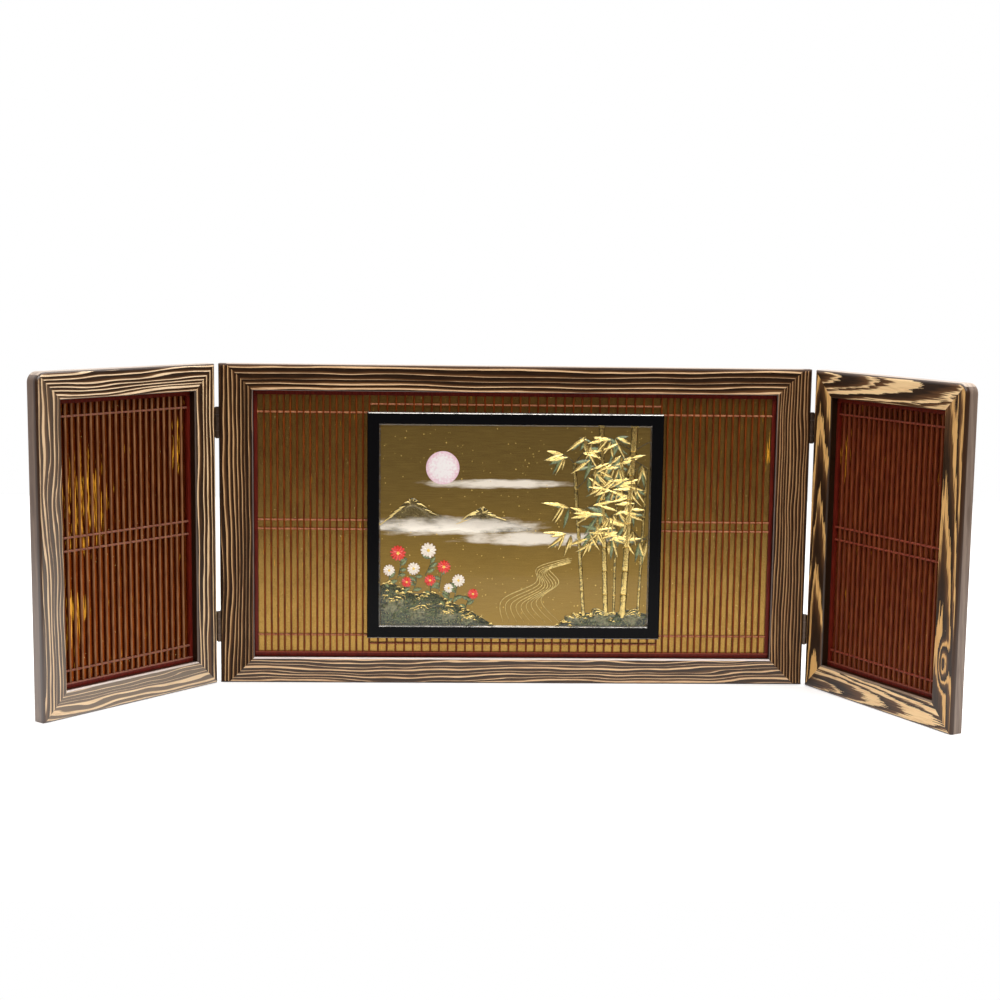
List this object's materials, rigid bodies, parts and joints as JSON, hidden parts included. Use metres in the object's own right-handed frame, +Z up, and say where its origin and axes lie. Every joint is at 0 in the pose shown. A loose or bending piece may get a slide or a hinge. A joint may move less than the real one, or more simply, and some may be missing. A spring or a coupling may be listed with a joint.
{
  "type": "folding screen",
  "caption": "Tabletop folding screen: wide centre panel with a framed picture on a red lattice over gold paper, and narrow lattice wings that fold forward on small butt hinges.",
  "frame": {"origin": "middle of the centre panel's base, at mid thickness of the panel", "axes": "+X runs along the centre panel to the viewer's right, +Y points to the back, away from the picture, and +Z is up"},
  "size_m": [0.8659, 0.2071, 0.327],
  "materials": {
    "burnt_wood": "burnt and brushed softwood, black-brown with tan grain, satin",
    "key_wood": "bare wood",
    "red_lacquer": "dark red lacquer, glossy",
    "gold_paper": "gold flecked paper, satin",
    "backing_board": "dark stained board, matt",
    "brad_steel": "plain steel",
    "black_lacquer": "black lacquer, high gloss",
    "picture_panel": "painted and clear lacquered, high gloss",
    "hinge_metal": "dark bronze, satin",
    "screw_metal": "dark bronze, satin"
  },
  "bodies": {
    "centre": {"centre_top_rail": "burnt_wood", "centre_bottom_rail": "burnt_wood", "centre_left_stile": "burnt_wood", "centre_right_stile": "burnt_wood", "centre_mitre_keys": "key_wood", "centre_lattice_border": "red_lacquer", "centre_left_slats": "red_lacquer", "centre_left_bars": "red_lacquer", "centre_middle_slats": "red_lacquer", "centre_middle_bars": "red_lacquer", "centre_right_slats": "red_lacquer", "centre_right_bars": "red_lacquer", "centre_gold_paper": "gold_paper", "centre_back_board": "backing_board", "centre_back_brads": "brad_steel", "picture_top_moulding": "black_lacquer", "picture_bottom_moulding": "black_lacquer", "picture_left_moulding": "black_lacquer", "picture_right_moulding": "black_lacquer", "picture_board": "picture_panel", "centre_hinge_screws": "screw_metal", "left_upper_hinge_centre_leaf": "hinge_metal", "left_upper_hinge_pin": "hinge_metal", "left_lower_hinge_centre_leaf": "hinge_metal", "left_lower_hinge_pin": "hinge_metal", "right_upper_hinge_centre_leaf": "hinge_metal", "right_upper_hinge_pin": "hinge_metal", "right_lower_hinge_centre_leaf": "hinge_metal", "right_lower_hinge_pin": "hinge_metal"},
    "left_wing": {"left_wing_top_rail": "burnt_wood", "left_wing_bottom_rail": "burnt_wood", "left_wing_hinge_stile": "burnt_wood", "left_wing_outer_stile": "burnt_wood", "left_wing_mitre_keys": "key_wood", "left_wing_lattice_border": "red_lacquer", "left_wing_slats": "red_lacquer", "left_wing_bars": "red_lacquer", "left_wing_gold_paper": "gold_paper", "left_wing_back_board": "backing_board", "left_wing_back_brads": "brad_steel", "left_wing_hinge_screws": "screw_metal", "left_upper_hinge_wing_leaf": "hinge_metal", "left_lower_hinge_wing_leaf": "hinge_metal"},
    "right_wing": {"right_wing_top_rail": "burnt_wood", "right_wing_bottom_rail": "burnt_wood", "right_wing_hinge_stile": "burnt_wood", "right_wing_outer_stile": "burnt_wood", "right_wing_mitre_keys": "key_wood", "right_wing_lattice_border": "red_lacquer", "right_wing_slats": "red_lacquer", "right_wing_bars": "red_lacquer", "right_wing_gold_paper": "gold_paper", "right_wing_back_board": "backing_board", "right_wing_back_brads": "brad_steel", "right_wing_hinge_screws": "screw_metal", "right_upper_hinge_wing_leaf": "hinge_metal", "right_lower_hinge_wing_leaf": "hinge_metal"}
  },
  "joints": [
    {"name": "left_wing_fold", "type": "hinge", "parent": "centre", "child": "left_wing", "pos_m": [-0.3011, -0.00845, 0.1635], "axis": [0, 0, 1], "range_deg": [-49.2, 130.8]},
    {"name": "right_wing_fold", "type": "hinge", "parent": "centre", "child": "right_wing", "pos_m": [0.3011, -0.00845, 0.1635], "axis": [0, 0, -1], "range_deg": [-63.2, 116.8]}
  ]
}
